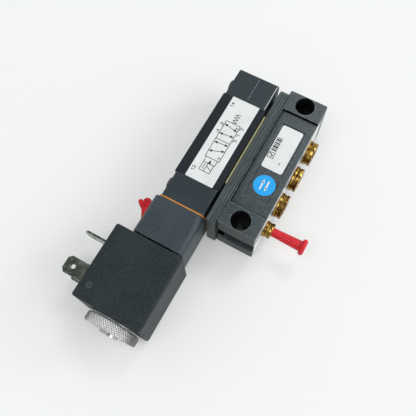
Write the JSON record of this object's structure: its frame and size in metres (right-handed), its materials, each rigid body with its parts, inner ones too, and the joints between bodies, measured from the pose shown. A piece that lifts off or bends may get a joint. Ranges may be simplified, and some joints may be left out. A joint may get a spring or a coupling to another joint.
{
  "type": "solenoid directional valve",
  "caption": "Solenoid spool valve with pilot block, spade-terminal coil and knurled nut, bolted side-on to a sub-base with brass push-in tube fittings.",
  "frame": {"origin": "midway between the two mounting holes, on the sub-base's resting face", "axes": "+Z out of the resting face along the mounting holes; +Y along the spool, from the coil towards the spring-side cap; +X from the valve towards the tube fittings"},
  "size_m": [0.0697, 0.1071, 0.022],
  "materials": {
    "base_moulding": "satin, finely textured dark grey moulding",
    "plate_metal": "dark anodised, drawn lengthwise",
    "seal_rubber": "matt black nitrile",
    "plated_steel": "zinc plated, satin",
    "dark_steel": "blackened steel",
    "label_white": "printed vinyl",
    "emblem_blue": "printed film",
    "gasket_yellow": "matt sheet gasket",
    "gasket_orange": "matt sheet gasket",
    "body_anodised": "black anodised",
    "cap_moulding": "satin, finely textured black moulding",
    "natural_polymer": "natural engineering plastic",
    "spool_aluminium": "hard anodised and polished",
    "brass_fitting": "machined, lightly polished",
    "red_moulding": "glossy moulding",
    "stainless": "turned",
    "coil_resin": "finely textured thermoset",
    "copper_wire": "enamelled wire",
    "tinned_brass": "tin plated, dull",
    "chrome_plate": "bright chrome, knurled rim"
  },
  "bodies": {
    "base": {"sub_base": "base_moulding", "interface_plate": "plate_metal", "plate_seals": "seal_rubber", "cap_seals": "seal_rubber", "spool_seals": "seal_rubber", "tube_flange_seal": "seal_rubber", "coil_seal": "seal_rubber", "tube_seals": "seal_rubber", "small_tube_seal": "seal_rubber", "plate_screws": "plated_steel", "cap_screws": "plated_steel", "pilot_screws": "plated_steel", "override_pin": "plated_steel", "return_spring": "plated_steel", "plunger_spring": "plated_steel", "grip_rings": "plated_steel", "small_grip_ring": "plated_steel", "nut_washer": "plated_steel", "valve_screws": "dark_steel", "port_label": "label_white", "test_sticker": "label_white", "schematic_label": "label_white", "emblem": "emblem_blue", "valve_gasket": "gasket_yellow", "pilot_gasket": "gasket_orange", "valve_body": "body_anodised", "far_end_cap": "cap_moulding", "pilot_end_cap": "cap_moulding", "pilot_housing": "cap_moulding", "seal_spacers": "natural_polymer", "pilot_seat": "brass_fitting", "port_cartridges": "brass_fitting", "small_cartridge": "brass_fitting", "armature_tube": "stainless", "fixed_core": "stainless"},
    "spool": {"spool": "spool_aluminium", "pilot_piston": "natural_polymer", "piston_seal": "seal_rubber"},
    "plunger": {"plunger": "stainless", "plunger_seals": "seal_rubber"},
    "override": {"manual_override": "red_moulding", "override_seal": "seal_rubber"},
    "coil": {"coil_housing": "coil_resin", "coil_bobbin": "natural_polymer", "coil_winding": "copper_wire", "magnet_yoke": "plated_steel", "power_terminals": "tinned_brass", "ground_terminal": "tinned_brass", "connector_insert": "brass_fitting"},
    "nut": {"coil_nut": "chrome_plate"},
    "collet_1": {"collet_1": "brass_fitting"},
    "collet_2": {"collet_2": "brass_fitting"},
    "collet_3": {"collet_3": "brass_fitting"},
    "small_collet": {"small_collet": "brass_fitting"},
    "plug": {"blanking_plug": "red_moulding"}
  },
  "joints": [
    {"name": "spool_shift", "type": "slide", "parent": "base", "child": "spool", "axis": [0, 1, 0], "range_m": [0, 0.0025], "stiffness_N_per_m": 800, "springref_m": -0.004, "deforming": ["return_spring"]},
    {"name": "plunger_lift", "type": "slide", "parent": "base", "child": "plunger", "axis": [0, -1, 0], "range_m": [0, 0.00075], "stiffness_N_per_m": 600, "springref_m": -0.004, "deforming": ["plunger_spring"]},
    {"name": "override_turn", "type": "hinge", "parent": "base", "child": "override", "pos_m": [-0.0307, -0.0348, 0.011], "axis": [1, 0, 0], "range_deg": [0, 90]},
    {"name": "coil_swivel", "type": "hinge", "parent": "base", "child": "coil", "pos_m": [-0.021, -0.06, 0.011], "axis": [0, 1, 0], "range_deg": [-180, 180]},
    {"name": "nut_turn", "type": "hinge", "parent": "base", "child": "nut", "pos_m": [-0.021, -0.0755, 0.011], "axis": [0, -1, 0], "range_deg": [0, 360]},
    {"name": "collet_1_press", "type": "slide", "parent": "base", "child": "collet_1", "axis": [-1, 0, 0], "range_m": [0, 0.0007], "stiffness_N_per_m": 1500, "springref_m": -0.002},
    {"name": "collet_2_press", "type": "slide", "parent": "base", "child": "collet_2", "axis": [-1, 0, 0], "range_m": [0, 0.0007], "stiffness_N_per_m": 1500, "springref_m": -0.002},
    {"name": "collet_3_press", "type": "slide", "parent": "base", "child": "collet_3", "axis": [-1, 0, 0], "range_m": [0, 0.0007], "stiffness_N_per_m": 1500, "springref_m": -0.002},
    {"name": "small_collet_press", "type": "slide", "parent": "base", "child": "small_collet", "axis": [-1, 0, 0], "range_m": [0, 0.0007], "stiffness_N_per_m": 1500, "springref_m": -0.002},
    {"name": "plug_pull", "type": "slide", "parent": "base", "child": "plug", "axis": [1, 0, 0], "range_m": [0, 0.012]}
  ]
}
